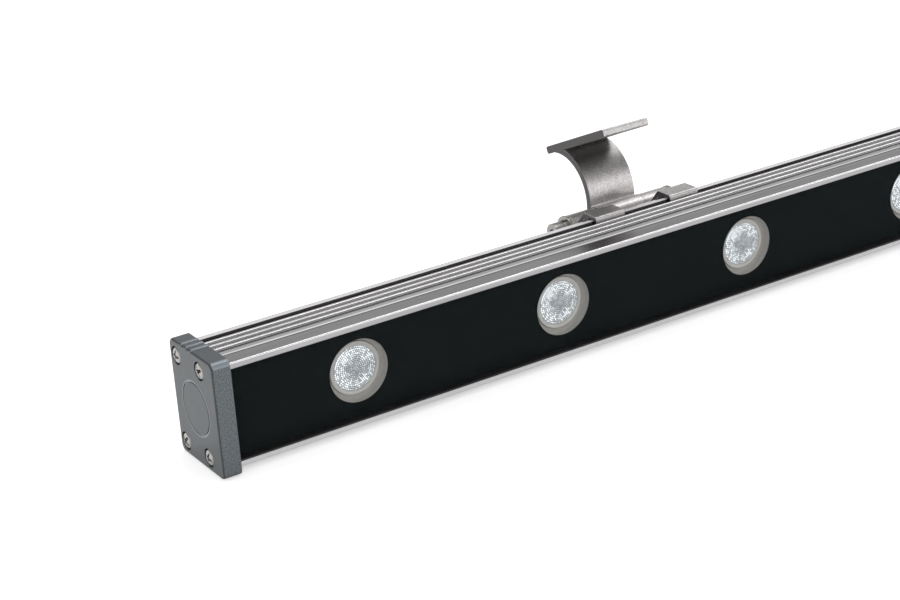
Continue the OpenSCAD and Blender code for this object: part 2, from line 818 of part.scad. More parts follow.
// Section of the arm with its plate level, drawn round the hinge axis
module arm_section() {
    tangent_a = foot_a - acos(min(1, barrel_r / foot_d));
    difference() {
        union() {
            circle(barrel_r);
            polygon([
                [0, 0], (barrel_r - 0.3) * [cos(tangent_a), sin(tangent_a)],
                (foot_d - 0.1) * [cos(foot_a + 2), sin(foot_a + 2)]
            ]);
            difference() {
                translate([arc_y, arc_z]) circle(blade_r);
                translate([arc_y, arc_z]) circle(blade_back_r);
                polygon([[arc_y, arc_z], [arc_y, 80], [90, 80], [90, -90], [-90 * arc_y / arc_z, -90], [0, 0]]);
                box2([-60, plate_rise - plate_t / 2], [60, 60]);
            }
            rounded([plate_front, plate_rise - plate_t], [plate_back, plate_rise], 0.8);
        }
        circle(bolt_d / 2 + bore_gap);
    }
}

module arm(x) {
    color("silver") translate([x, hinge_y, hinge_z]) rotate([-arm_tilt, 0, 0]) difference() {
        along_x(-arm_w / 2, arm_w) arm_section();
        translate([0, plate_front + fixing_in, plate_rise - plate_t - cut]) cylinder(d = fixing_d, h = plate_t + 2 * cut);
    }
}

module left_clip() clip(left_x);
module left_nut_bar() nut_bar(left_x);
module left_clamp_screws() clamp_screws(left_x);
module left_hinge_bolt() hinge_bolt(left_x);
module left_hinge_washers() hinge_washers(left_x);
module left_hinge_nut() hinge_nut(left_x);
module left_arm() arm(left_x);
module right_clip() clip(right_x);
module right_nut_bar() nut_bar(right_x);
module right_clamp_screws() clamp_screws(right_x);
module right_hinge_bolt() hinge_bolt(right_x);
module right_hinge_washers() hinge_washers(right_x);
module right_hinge_nut() hinge_nut(right_x);
module right_arm() arm(right_x);

housing();
front_glass();
glass_print();
glass_seals();
left_end_cap();
right_end_cap();
left_cap_gasket();
right_cap_gasket();
left_cap_screws();
right_cap_screws();
led_board();
leds();
lens_holders();
lenses();
board_screws();
driver_pad();
driver_board();
driver_parts();
board_link_pins();
gland_body();
gland_washer();
gland_seal();
gland_nut();
left_clip();
left_nut_bar();
left_clamp_screws();
left_hinge_bolt();
left_hinge_washers();
left_hinge_nut();
left_arm();
right_clip();
right_nut_bar();
right_clamp_screws();
right_hinge_bolt();
right_hinge_washers();
right_hinge_nut();
right_arm();
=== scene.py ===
"""Looks of a linear wall washer light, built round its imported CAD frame."""

import json
import math

import bmesh
import bpy
import numpy as np
from bpy.props import FloatProperty, FloatVectorProperty, PointerProperty
from mathutils import Matrix, Vector

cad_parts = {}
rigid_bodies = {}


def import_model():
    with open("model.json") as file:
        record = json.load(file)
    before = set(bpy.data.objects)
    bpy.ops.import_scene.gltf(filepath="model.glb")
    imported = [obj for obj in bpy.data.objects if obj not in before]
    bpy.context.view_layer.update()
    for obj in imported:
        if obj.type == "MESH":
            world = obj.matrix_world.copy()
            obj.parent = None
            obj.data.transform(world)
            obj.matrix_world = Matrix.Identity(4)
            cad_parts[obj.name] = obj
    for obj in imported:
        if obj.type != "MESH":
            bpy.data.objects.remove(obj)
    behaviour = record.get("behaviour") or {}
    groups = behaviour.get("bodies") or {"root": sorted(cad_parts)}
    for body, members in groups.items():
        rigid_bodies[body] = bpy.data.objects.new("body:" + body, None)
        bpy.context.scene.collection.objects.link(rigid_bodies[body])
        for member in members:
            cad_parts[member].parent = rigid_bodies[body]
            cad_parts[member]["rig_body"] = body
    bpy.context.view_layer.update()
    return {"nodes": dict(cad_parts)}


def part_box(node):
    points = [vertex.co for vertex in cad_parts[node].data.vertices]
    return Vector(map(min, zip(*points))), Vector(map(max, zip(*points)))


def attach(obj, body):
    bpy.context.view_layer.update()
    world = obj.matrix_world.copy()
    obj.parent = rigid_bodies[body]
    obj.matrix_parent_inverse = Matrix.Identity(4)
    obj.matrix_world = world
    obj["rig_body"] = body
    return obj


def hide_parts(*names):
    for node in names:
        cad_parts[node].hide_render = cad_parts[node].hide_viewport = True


bl_info = {
    "name": "Linear Wall Washer Light",
    "version": (1, 0, 0),
    "blender": (4, 5, 0),
    "location": "View3D > Sidebar > Wall Washer",
    "description": "Dresses the solids of a linear wall washer light and sets its studio",
    "category": "Object",
}

MM = 0.001
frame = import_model()
NODE_BODY = {n: o["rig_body"] for n, o in frame["nodes"].items()}
BAR_LOW, BAR_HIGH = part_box("housing")
LENS_LOW, LENS_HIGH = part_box("lenses")
LED_LOW, LED_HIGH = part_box("leds")
CAP_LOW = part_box("left_end_cap")[0]
SIDES = ("left", "right")

# The light sources stand in one row, and each has its lens.
LED_COUNT, LED_WIDTH = 6, 3.5 * MM
LED_SPAN = LED_HIGH.x - LED_LOW.x - LED_WIDTH
LED_X = np.linspace(-LED_SPAN / 2, LED_SPAN / 2, LED_COUNT)

# A lens: its face lies a little behind the flange and bulges out, its beads fade out towards the rim, and
# its cup tapers from the face's radius to the end's, where a pocket takes the light source.
LENS_MIDDLE_Z = (LENS_HIGH.z + LENS_LOW.z) / 2
LENS_DEPTH = LENS_HIGH.y - LENS_LOW.y
FLANGE_R, FLANGE_DEPTH = (LENS_HIGH.z - LENS_LOW.z) / 2, 1.0 * MM
FACE_R, FACE_BACK, FACE_BULGE, FACE_BORDER = 8.1 * MM, 0.45 * MM, 0.25 * MM, 0.3 * MM
BEAD_FADE = 0.6 * MM
CUP_END_R, CUP_CURVE, CUP_RINGS = 3.6 * MM, 0.6, 9
POCKET_R, POCKET_DEPTH = 2.4 * MM, 3 * MM
LENS_GRID, SIDE_GLOW = 96, 0.1

# Radius and depth of the rings that lead from the face over the flange.
FLANGE_RINGS = np.array([
    [FACE_R + 0.1 * MM, 0.5 * MM], [FACE_R + 0.25 * MM, 0.3 * MM], [FLANGE_R - 0.2 * MM, 0],
    [FLANGE_R, 0.15 * MM], [FLANGE_R, 0.9 * MM], [FLANGE_R - 0.1 * MM, FLANGE_DEPTH],
])


# Settings


def length(name, description, default, high, low=0.0):
    """A length that a user may change, in metres."""
    return FloatProperty(
        name=name, description=description, default=default, min=low, max=high, unit="LENGTH", precision=5,
    )


def colour(name, description, default):
    """A colour that a user may change."""
    return FloatVectorProperty(
        name=name, description=description, default=default, subtype="COLOR", size=3, min=0, max=1,
    )


class WASHER_PG_sizes(bpy.types.PropertyGroup):
    """Sizes of the pieces that are finer than the solids."""

    bead_pitch: length(
        "Bead pitch", "Distance from one bead of the lens face to the next", 0.74 * MM, 2 * MM, 0.5 * MM,
    )
    bead_height: length("Bead height", "How far a bead stands out of the lens face", 0.18 * MM, 0.4 * MM)
    edge_break: length("Edge break", "Rounding of the bar's sharp edges", 0.18 * MM, 0.5 * MM)
    cap_edge: length("Cap edge", "Rounding of the sharp edges of the castings", 0.3 * MM, 1 * MM)
    bracket_edge: length("Bracket edge", "Rounding of the sawn edges of the brackets", 0.3 * MM, 0.5 * MM)


class WASHER_PG_colours(bpy.types.PropertyGroup):
    """Colours of the finishes."""

    bar: colour("Bar", "Anodised aluminium of the bar", (0.53, 0.52, 0.53))
    bracket: colour("Brackets", "Satin aluminium of the clips and arms", (0.60, 0.58, 0.575))
    casting: colour("End caps", "Slate grey paint of the castings", (0.096, 0.109, 0.118))
    steel: colour("Fasteners", "Stainless steel", (0.61, 0.59, 0.56))
    print_black: colour("Print", "Black print behind the glass", (0.0086, 0.0113, 0.0121))
    lens: colour("Lenses", "Clear lens seen against its reflector", (0.465, 0.495, 0.57))
    holder: colour("Lens holders", "Grey-beige moulding", (0.47, 0.46, 0.435))


def sizes():
    return bpy.context.scene.washer_sizes


def colours():
    return bpy.context.scene.washer_colours


# Shader maths


class Value:
    """A shader socket with arithmetic: an expression on values adds its Math nodes."""

    def __init__(self, tree, socket):
        self.tree, self.socket = tree, socket

    def _math(self, operation, *terms):
        return self.tree.node("ShaderNodeMath", {"operation": operation}, sockets=dict(enumerate(terms)))

    def __add__(self, o):
        return self._math("ADD", self, o)

    __radd__ = __add__

    def __sub__(self, o):
        return self._math("SUBTRACT", self, o)

    def __rsub__(self, o):
        return self._math("SUBTRACT", o, self)

    def __mul__(self, o):
        return self._math("MULTIPLY", self, o)

    __rmul__ = __mul__

    def __truediv__(self, o):
        return self._math("DIVIDE", self, o)

    def __rtruediv__(self, o):
        return self._math("DIVIDE", o, self)

    def __pow__(self, o):
        return self._math("POWER", self, o)

    def __rpow__(self, o):
        return self._math("POWER", o, self)

    def abs(self):
        return self._math("ABSOLUTE", self)

    def round(self):
        return self._math("ROUND", self)

    def max(self, o):
        return self._math("MAXIMUM", self, o)

    def arctan2(self, o):
        return self._math("ARCTAN2", self, o)

    def above(self, edge):
        """1 over the edge, else 0."""
        return self._math("GREATER_THAN", self, edge)

    def below(self, edge):
        """0 over the edge, else 1."""
        return 1 - self.above(edge)

    def between(self, low, high):
        """1 between low and high, else 0."""
        return self.above(low) * self.below(high)

    def clamp(self):
        return self.tree.node("ShaderNodeClamp", sockets={0: self})

    def smooth(self, low, high):
        """0 at low, 1 at high, eased in between."""
        eased = {"interpolation_type": "SMOOTHSTEP"}
        return self.tree.node("ShaderNodeMapRange", eased, sockets={0: self, 1: low, 2: high})


class ShaderTree:
    """A node tree under construction, emptied first: nodes come from node(), the rest from expressions."""

    def __init__(self, node_tree):
        self.nodes, self.links = node_tree.nodes, node_tree.links
        self.nodes.clear()

    def feed(self, socket, what):
        """Links a socket to a Value, or sets it to a plain number or colour."""
        if isinstance(what, Value):
            self.links.new(what.socket, socket)
            return
        if hasattr(what, "__len__") and len(what) == 3 and len(socket.default_value) == 4:
            what = (*what, 1)
        socket.default_value = what

    def node(self, kind, settings=None, out=0, sockets=None, **named):
        """A new node. Its settings are set first, then its sockets, by their numbers or by their names.
        Gives its output out, or a list where out is a tuple, or nothing for a node that ends a tree."""
        made = self.nodes.new(kind)
        for key, value in (settings or {}).items():
            setattr(made, key, value)
        for key, value in (sockets or {}).items():
            self.feed(made.inputs[key], value)
        for key, value in named.items():
            self.feed(made.inputs[key.replace("_", " ")], value)
        if isinstance(out, tuple):
            return [Value(self, made.outputs[o]) for o in out]
        return Value(self, made.outputs[out]) if made.outputs else None

    def axes(self, vector):
        return self.node("ShaderNodeSeparateXYZ", out=("X", "Y", "Z"), Vector=vector)

    def rays(self):
        """1 for what the camera sees, also through glass, and 1 for what is mirrored."""
        kinds = ("Is Camera Ray", "Is Transmission Ray", "Is Glossy Ray")
        camera, through, mirrored = self.node("ShaderNodeLightPath", out=kinds)
        return (camera + through).clamp(), mirrored


class Finish(ShaderTree):
    """A material under construction."""

    def __init__(self, name):
        self.material = bpy.data.materials.new(name)
        self.material.use_nodes = True
        super().__init__(self.material.node_tree)
        self.place = self.node("ShaderNodeTexCoord", out="Object")

    def stretched(self, x, y, z):
        """Object coordinates multiplied along each axis."""
        return self.node("ShaderNodeMapping", Vector=self.place, Scale=(x, y, z))

    def noise(self, vector, scale=1.0, detail=3.0, roughness=0.55):
        return self.node(
            "ShaderNodeTexNoise", Vector=vector, Scale=scale, Detail=detail, Roughness=roughness,
        )

    def attribute(self, name):
        return self.node("ShaderNodeAttribute", {"attribute_name": name}, "Fac")

    def facing(self):
        """The x, y and z parts of the surface's normal, in the piece's own directions."""
        return self.axes(self.node("ShaderNodeTexCoord", out="Normal"))

    def blend(self, factor, a, b):
        """Colour a where factor is 0, colour b where it is 1."""
        return self.node("ShaderNodeMix", {"data_type": "RGBA"}, 2, {0: factor, 6: a, 7: b})

    def mottled(self, factor, hue, low, high):
        """The hue times low where factor is 0, the hue times high where it is 1."""
        return self.blend(factor, scaled(hue, low), scaled(hue, high))

    def toned(self, shade, hue, *layers):
        """Lays the hue times a tone over the shade where a mask is 1, for each layer of (mask, tone)."""
        for mask, tone in layers:
            shade = self.blend(mask, shade, scaled(hue, tone))
        return shade

    def bump(self, height, depth, strength):
        return self.node("ShaderNodeBump", Height=height, Distance=depth, Strength=strength)

    def end(self, shader):
        self.node("ShaderNodeOutputMaterial", Surface=shader)
        return self.material

    def surface(self, **inputs):
        """Ends the material in a Principled shader; names are the sockets' own."""
        return self.end(self.node("ShaderNodeBsdfPrincipled", **inputs))


def scaled(hue, k):
    return tuple(min(1.0, c * k) for c in hue)


# Finishes

# Between these values of its noise a mottled finish goes from its dark tone to its light one.
MOTTLE, STREAK = (0.3, 0.7), (0.35, 0.65)

# Depths of the surface grain, for bumps.
DRAWN_DEPTH, BLASTED_DEPTH, FINE_DEPTH = 0.02 * MM, 0.04 * MM, 0.01 * MM

# Grain along x, y and z, in waves per metre.
BAR_LINES, BAR_CLOUDS = (6, 2600, 2600), (30, 160, 160)
BRACKET_GRAIN = (1300, 2300, 2300)
CAST_STREAKS = (3200, 3200, 1500)

# Bands of the bar's top, each from one y to another.
SCORE_BAND = (-6.9 * MM, -5.3 * MM)
TROUGH_BAND = (-4.65 * MM, -2.2 * MM)
FLUTE_BAND = (-2.2 * MM, BAR_HIGH.y - 5.2 * MM)
HOOK_BAND = (BAR_HIGH.y - 5.2 * MM, BAR_HIGH.y - 3.3 * MM)
RIM_FRONT = BAR_HIGH.y - 3.35 * MM

# How far the bands and the painted highlight of the rim reach down from the top, and how far down the
# painted shade of the score, the hook groove and the flutes begins, which is eased in for the flutes.
BAND_DEPTH, RIM_DEPTH = 1.6 * MM, 0.2 * MM
SCORE_START, HOOK_START = 0.4 * MM, 0.15 * MM
FLUTE_FULL, FLUTE_START = 0.7 * MM, 0.3 * MM

# The painted highlights on the upper corner of the bar's front and on the lip at its foot: how deep, and
# how tall.
CORNER_DEPTH, CORNER_HEIGHT = 0.4 * MM, 0.45 * MM
LIP_DEPTH, LIP_HEIGHT = 0.6 * MM, 4 * MM

# Where painted shade dims the brackets under the arms' plates: eased in from one height to the next, and
# behind this y.
SHELTER_HEIGHTS, SHELTER_FRONT = (38 * MM, 56 * MM), 24 * MM

# How squarely a face of a bracket or a cap looks a way, 0 to 1, where a tone begins and where it is full.
SAWN_END, UNDERSIDE, FRONT_SIDE, UPPER_SIDE = (0.8, 0.97), (0.35, 0.8), (0.1, 0.3), (0.85, 0.95)
CAP_FLANK, CAP_FLAT, HIGHLIGHT_EDGE = (0.6, 0.95), (0.75, 0.99), (0.8, 0.97)

# The blank round mark on the left cap, its groove lightened by a painted highlight.
MARK_Z = (BAR_LOW.z + BAR_HIGH.z) / 2
MARK_R, MARK_HALF_WIDTH = 9.2 * MM, 0.35 * MM

# A bead's share of the painted glow behind it, from the dimmest bead to the brightest, how high on a bead
# its painted highlight and its painted glints begin, 1 being the top, and the glints' strength.
DIMMEST, BRIGHTEST = 0.35, 1.65
BEAD_TOP, GLINT_TOP, GLINT = (0.3, 0.8), (0.4, 0.9), 0.6


def anodised_bar():
    """Drawn lines along the bar over a soft satin sheen. A painted highlight lies on the rim that the hooks
    slide on, on the front's upper corner and on its lip. Painted shade lies in the score, the trough, the
    flutes and the hook groove."""
    f = Finish("anodised_bar")
    lines = f.noise(f.stretched(*BAR_LINES), detail=2)
    cloud = f.noise(f.stretched(*BAR_CLOUDS), detail=2)
    _, y, z = f.axes(f.place)
    top = BAR_HIGH.z
    on_top = z.above(top - BAND_DEPTH)
    rim = y.above(RIM_FRONT) * z.above(top - RIM_DEPTH)
    corner = y.below(BAR_LOW.y + CORNER_DEPTH) * z.above(top - CORNER_HEIGHT)
    lip = y.below(BAR_LOW.y + LIP_DEPTH) * z.below(BAR_LOW.z + LIP_HEIGHT)
    hook_groove = y.between(*HOOK_BAND) * on_top * z.below(top - HOOK_START)
    flutes = y.between(*FLUTE_BAND) * on_top * (1 - z.smooth(top - FLUTE_FULL, top - FLUTE_START))
    trough = y.between(*TROUGH_BAND) * on_top
    score = y.between(*SCORE_BAND) * on_top * z.below(top - SCORE_START)
    bar = colours().bar
    shade = f.mottled((lines * 0.6 + cloud * 0.4).smooth(*MOTTLE), bar, 0.84, 1.12)
    shade = f.toned(
        shade, bar,
        # Painted highlights on the rim, the front's upper corner and the lip.
        ((rim + corner + lip).clamp(), 1.6),
        # Painted shade in the hook groove, the flutes, the trough and the score.
        (hook_groove, 0.3),
        (flutes, 0.5),
        (trough * 0.75, 0.45),
        (score, 0.2),
    )
    return f.surface(
        Base_Color=shade, Metallic=1.0, Roughness=0.14 + lines * 0.1 + rim * 0.4,
        Normal=f.bump(lines, DRAWN_DEPTH, 0.5),
    )


def satin_bracket():
    """Blasted leathery grain on the drawn faces, saw-cut ends darker by their sawn finish and partly by
    painted shade, and painted shade on the undersides and where the plate of the arm keeps the light off."""
    f = Finish("satin_bracket")
    grain = f.noise(f.stretched(*BRACKET_GRAIN), detail=3, roughness=0.7)
    speck = f.noise(f.place, scale=420, detail=2)
    side, back, up = f.facing()
    _, y, z = f.axes(f.place)
    cut = side.abs().smooth(*SAWN_END)
    under = (up * -1).smooth(*UNDERSIDE)
    front_side = (back * -1).smooth(*FRONT_SIDE) * (1 - up.smooth(*UPPER_SIDE))
    sheltered = z.smooth(*SHELTER_HEIGHTS) * y.above(SHELTER_FRONT) * front_side
    bracket = colours().bracket
    shade = f.mottled((grain * 0.85 + speck * 0.15).smooth(*MOTTLE), bracket, 0.66, 1.22)
    # Painted shade under the arm's plate and on the undersides; the saw-cut ends are darker, partly by
    # painted shade.
    shade = f.toned(shade, bracket, (sheltered * 0.9, 0.2), (under, 0.35), (cut, 0.2))
    return f.surface(
        Base_Color=shade, Metallic=1.0, Roughness=0.3 + grain * 0.12,
        Normal=f.bump(grain, BLASTED_DEPTH, 0.5),
    )


def cast_grey():
    """Painted die casting: smooth on the face, with a coarse streaked grain on its sides, and a blank ring
    on the left cap whose groove carries a painted highlight. Painted shade darkens its rounded edges, all
    but those from the front to the top, which carry a painted highlight."""
    f = Finish("cast_grey")
    pits = f.noise(f.place, scale=1500, detail=3, roughness=0.65)
    cloud = f.noise(f.place, scale=120, detail=3)
    streaks = f.noise(f.stretched(*CAST_STREAKS), detail=2, roughness=0.7)
    x, y, z = f.axes(f.place)
    nx, ny, nz = f.facing()
    flank = ny.abs().smooth(*CAP_FLANK)
    flat = nx.abs().max(ny.abs()).max(nz.abs()).smooth(*CAP_FLAT)
    front_top_highlight = ((nz - ny) / math.sqrt(2)).smooth(*HIGHLIGHT_EDGE)
    from_middle = (y * y + (z - MARK_Z) ** 2) ** 0.5
    mark = from_middle.between(MARK_R - MARK_HALF_WIDTH, MARK_R + MARK_HALF_WIDTH) * x.below(0)
    casting = colours().casting
    shade = f.mottled((pits * 0.6 + cloud * 0.4).smooth(*MOTTLE), casting, 0.9, 1.12)
    shade = f.blend(flank, shade, f.mottled(streaks.smooth(*STREAK), casting, 0.82, 1.85))
    # A painted highlight on the blank ring's groove, painted shade on the rounded edges, and a painted
    # highlight on the edges from the front to the top.
    shade = f.toned(shade, casting, (mark, 3.2), (1 - flat, 0.45), (front_top_highlight, 2.8))
    return f.surface(
        Base_Color=shade, Metallic=0.4, Roughness=0.26 + pits * 0.14, Coat_Weight=0.3, Coat_Roughness=0.15,
        Normal=f.bump(pits, BLASTED_DEPTH, 0.55),
    )


def stainless(name="stainless", tone=1.0):
    """Turned steel, with painted shade where the attribute recess is high: in a screw's cross recess,
    towards the rim of its head and over its shank.
    """
    f = Finish(name)
    cloud = f.noise(f.place, scale=1800, detail=2)
    shade = f.mottled(cloud, colours().steel, 0.88 * tone, 1.12 * tone)
    # Painted shade in the screws' cross recesses, towards the rims of their heads and on their shanks.
    shade = f.toned(shade, colours().steel, (f.attribute("recess").clamp(), 0.07))
    return f.surface(
        Base_Color=shade, Metallic=1.0, Roughness=0.2 + cloud * 0.1, Normal=f.bump(cloud, FINE_DEPTH, 0.4),
    )


def plain(name, hue, roughness, metallic=0.0):
    """One even finish with a little grain in its colour, gloss and surface."""
    f = Finish(name)
    cloud = f.noise(f.place, scale=900, detail=2)
    return f.surface(
        Base_Color=f.mottled(cloud, hue, 0.92, 1.08), Metallic=metallic,
        Roughness=roughness - 0.04 + cloud * 0.08, Normal=f.bump(cloud, FINE_DEPTH, 0.3),
    )


def clear_glass():
    """Glass that barely veils what lies behind it, its gloss a little dulled by dust."""
    f = Finish("clear_glass")
    dust = f.noise(f.place, scale=60, detail=4)
    return f.surface(
        Base_Color=(0.05, 0.07, 0.06), Roughness=0.02 + dust * 0.02, Alpha=0.012, Specular_IOR_Level=0.5,
    )


def black_print():
    """Dense black lacquer seen through the glass, a touch paler in wide clouds."""
    f = Finish("black_print")
    cloud = f.noise(f.place, scale=14, detail=2)
    return f.surface(
        Base_Color=f.mottled(cloud, colours().print_black, 0.9, 1.12),
        Roughness=0.3 + cloud * 0.1, Specular_IOR_Level=0.02,
    )


def beaded_lens():
    """Clear moulding with a painted reflection of its bright reflector. The beads stand in rings round the
    lens's own middle, where u and v are 0, and ring k holds 2 pi k of them: painted highlights on the tops,
    painted shade in the joints, each bead brighter or darker than the next, and painted glints that glow."""
    f = Finish("beaded_lens")
    u, v, glow = (f.attribute(name) for name in ("lens_u", "lens_v", "glow"))
    square = u * u + v * v
    r = square ** 0.5 / (sizes().bead_pitch / MM)
    ring = r.round()
    turn = v.arctan2(u) / (2 * math.pi) * (ring * (2 * math.pi)).round()
    across, along = r - ring, turn - turn.round()
    top = 1 - 2 * (across * across + along * along)
    cell = f.node("ShaderNodeCombineXYZ", X=ring, Y=turn.round())
    flicker = f.node("ShaderNodeTexWhiteNoise", {"noise_dimensions": "2D"}, "Value", Vector=cell)
    bright = (glow * (DIMMEST + (BRIGHTEST - DIMMEST) * flicker)).clamp()
    face = 1 - square.smooth(((FACE_R - FACE_BORDER) / MM) ** 2, (FACE_R / MM) ** 2)
    lens = colours().lens
    # Painted highlights on the bead tops and painted shade in the joints, over the painted reflection of
    # the reflector.
    shade = f.blend(top.smooth(*BEAD_TOP), scaled(lens, 0.1), f.mottled(bright, lens, 0.75, 2.0))
    shade = f.blend(face, scaled(colours().holder, 1.08), shade)
    # Painted glints, given off as an emission though the lens is no lamp.
    glint = bright * bright * top.smooth(*GLINT_TOP) * face
    return f.surface(
        Base_Color=shade, Roughness=0.12, Coat_Weight=0.5, Coat_Roughness=0.05, Coat_IOR=1.6,
        Emission_Color=f.blend(glint, (0, 0, 0), (0.9, 0.95, 1.0)), Emission_Strength=GLINT,
    )


# Meshes

# Points closer than this are one, and faces that meet at less than this angle are one flat face.
MERGE_DISTANCE, FLAT_ANGLE = 1e-7, math.radians(0.5)

# An edge is rounded where both its faces are broader than this many times the rounding.
BROAD = 3

# Roundings of mouldings and fasteners.
MOULDED_EDGE, FASTENER_EDGE = 0.2 * MM, 0.15 * MM

# The reflector's glow, painted into the lens as a painted reflection: radius and width of its ring of
# petals as shares of the face's radius, how deep the glow swings from petal to petal and from side to side,
# and its strength over the even glow.
PETAL_R, PETAL_WIDTH, PETAL_COUNT = 0.76, 0.3, 4
PETAL_TURN, PETAL_SWING = math.radians(38), 0.25
SIDE_TURN, SIDE_SWING = math.radians(165), 0.28
PETAL_GLOW, EVEN_GLOW = 1.05, 0.28

# A cap screw: its head with the radius of the dome and the edge, and rings of radius and distance out of
# the seat that lead from the head down to the tip.
HEAD_R, HEAD_HEIGHT, HEAD_DOME_R, HEAD_EDGE = 2.8 * MM, 2.2 * MM, 4.48 * MM, 0.12 * MM
SCREW_RINGS = np.array([
    [2.77, 1.16], [2.8, 1.0], [2.8, 0.12], [2.72, 0.0], [1.5, 0.0], [1.5, -4.9],
    [1.25, -4.9], [1.25, -11.6], [1.0, -12.0], [0, -12.0],
]) * MM
SCREW_TURNS = (0.3, 1.1, 0.7, 0.15)
SCREW_GRID = 76

# The cross recess: half the width of an arm and how it tapers, its length, its depth and how that rises
# outwards, and the width of its walls.
ARM_HALF_WIDTH, ARM_TAPER, ARM_WALL = 0.68 * MM, 0.12, 0.1 * MM
ARM_LENGTH, ARM_END_WALL = 1.95 * MM, 0.2 * MM
ARM_DEPTH, ARM_RISE = 1.3 * MM, 0.3

# How dark the painted shade lies on the head towards its rim, and on the shank all over.
RIM_START, RIM_FADE = 2.1 * MM, 0.6 * MM
RIM_SHADE, SHANK_SHADE = 0.6, 0.7


def new_piece(name, mesh, body, material, node):
    """A finished piece in the row frame: it rides on its body and stands for its node."""
    piece = bpy.data.objects.new(name, mesh)
    bpy.context.scene.collection.objects.link(piece)
    mesh.materials.clear()
    mesh.materials.append(material)
    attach(piece, body)
    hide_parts(node)
    return piece


def paint(node, material):
    """Gives a CAD node's own mesh its finish."""
    mesh = frame["nodes"][node].data
    mesh.materials.clear()
    mesh.materials.append(material)


def dress(node, material, width=0.0, segments=2, angle=30):
    """A merged copy of a CAD node: edges sharper than angle are rounded by width where both faces are
    broad, the others stay crisp, and normals are weighted by area, so that flat faces stay flat beside
    round ones."""
    mesh = frame["nodes"][node].data.copy()
    work = bmesh.new()
    work.from_mesh(mesh)
    bmesh.ops.remove_doubles(work, verts=work.verts, dist=MERGE_DISTANCE)
    bmesh.ops.dissolve_limit(work, angle_limit=FLAT_ANGLE, verts=work.verts, edges=work.edges)
    for face in work.faces:
        face.smooth = True
    weight = work.edges.layers.float.new("bevel_weight_edge")
    for edge in work.edges:
        if len(edge.link_faces) == 2 and edge.calc_face_angle() > math.radians(angle):
            breadth = min(f.calc_area() for f in edge.link_faces) / max(edge.calc_length(), MERGE_DISTANCE)
            if width and breadth > BROAD * width:
                edge[weight] = 1
            else:
                edge.smooth = False
    work.to_mesh(mesh)
    work.free()
    piece = new_piece(node + "_finish", mesh, NODE_BODY[node], material, node)
    if width:
        bevel = piece.modifiers.new("Edge break", "BEVEL")
        bevel.width, bevel.segments, bevel.limit_method = width, segments, "WEIGHT"
    weighted = piece.modifiers.new("Flat faces", "WEIGHTED_NORMAL")
    weighted.keep_sharp = True


def grid_faces(rows, columns, closed=False):
    """Quads of a grid of points stored row by row; closed joins the last column to the first."""
    r, c = np.meshgrid(np.arange(rows - 1), np.arange(columns if closed else columns - 1), indexing="ij")
    here, there = r * columns, (r + 1) * columns
    following = (c + 1) % columns
    return np.stack([here + c, here + following, there + following, there + c], -1).reshape(-1, 4)


def mesh_of(name, points, face_sets, layers):
    """A smooth closed mesh from arrays of points and faces; layers gives each point values by name."""
    mesh = bpy.data.meshes.new(name)
    mesh.from_pydata(points.tolist(), [], [f for s in face_sets for f in s.tolist()])
    for key, values in layers.items():
        mesh.attributes.new(key, "FLOAT", "POINT").data.foreach_set("value", values.astype(np.float32))
    work = bmesh.new()
    work.from_mesh(mesh)
    bmesh.ops.remove_doubles(work, verts=work.verts, dist=MERGE_DISTANCE)
    bmesh.ops.recalc_face_normals(work, faces=work.faces)
    work.to_mesh(mesh)
    work.free()
    mesh.shade_smooth()
    return mesh


def disc_grid(n, radius):
    """A square grid bent onto a disc: u = x sqrt(1 - y^2 / 2), v = y sqrt(1 - x^2 / 2)."""
    line = np.linspace(-1, 1, n)
    x, y = np.meshgrid(line, line)
    return radius * x * np.sqrt(1 - y * y / 2), radius * y * np.sqrt(1 - x * x / 2)


def disc_edge(n):
    """Indices of the grid's outline, once round."""
    index = np.arange(n * n).reshape(n, n)
    return np.concatenate([index[0, :-1], index[:-1, -1], index[-1, :0:-1], index[:0:-1, 0]])


def outward(a, b, n):
    """Unit directions from a disc grid's middle to the points of its outline, from its two offsets."""
    direction = np.stack([a.ravel()[disc_edge(n)], b.ravel()[disc_edge(n)]], -1)
    return direction / np.linalg.norm(direction, axis=1, keepdims=True)


def closed_off(face, rings, n):
    """Joins a disc grid's outline to rings of as many points each, which close its back.
    Returns all the points, the grid's faces and the rings' faces."""
    count, around = rings.shape[:2]
    numbers = np.concatenate([disc_edge(n), n * n + np.arange(count * around)])
    points = np.concatenate([face, rings.reshape(-1, 3)])
    return points, grid_faces(n, n), numbers[grid_faces(count + 1, around, closed=True)]


def together(parts):
    """Joins lists of (points, faces...) into one set, its numbers moved on."""
    points, faces, start = [], [], 0
    for p, *fs in parts:
        points.append(p)
        faces += [f + start for f in fs]
        start += len(p)
    return np.concatenate(points), faces


def beads(u, v, pitch, height):
    """Round beads in rings, 2 pi k of them in ring k: height (1 - 2 d^2), where d is the distance from the
    middle of a bead in pitches."""
    r = np.hypot(u, v) / pitch
    ring = np.round(r)
    turn = np.arctan2(v, u) / (2 * math.pi) * np.round(2 * math.pi * ring)
    return height * (1 - 2 * ((r - ring) ** 2 + (turn - np.round(turn)) ** 2))


def swing(angle, depth):
    """1 where the angle is 0, and less by twice the depth half a turn on: 1 - depth (1 - cos angle)."""
    return 1 - depth * (1 - np.cos(angle))


def reflector_glow(u, v):
    """Painted reflection of bright petals of the reflector behind the lens: they swing with the cosine of
    four times the angle on a ring exp(-((r - R) / width)^2), brighter towards -u, over an even glow."""
    r, a = np.hypot(u, v), np.arctan2(v, u)
    ring = np.exp(-((r - PETAL_R) / PETAL_WIDTH) ** 2)
    petals = swing(PETAL_COUNT * (a - PETAL_TURN), PETAL_SWING)
    side = swing(a - SIDE_TURN, SIDE_SWING)
    return np.clip(ring * petals * side * PETAL_GLOW + EVEN_GLOW, 0, 1)


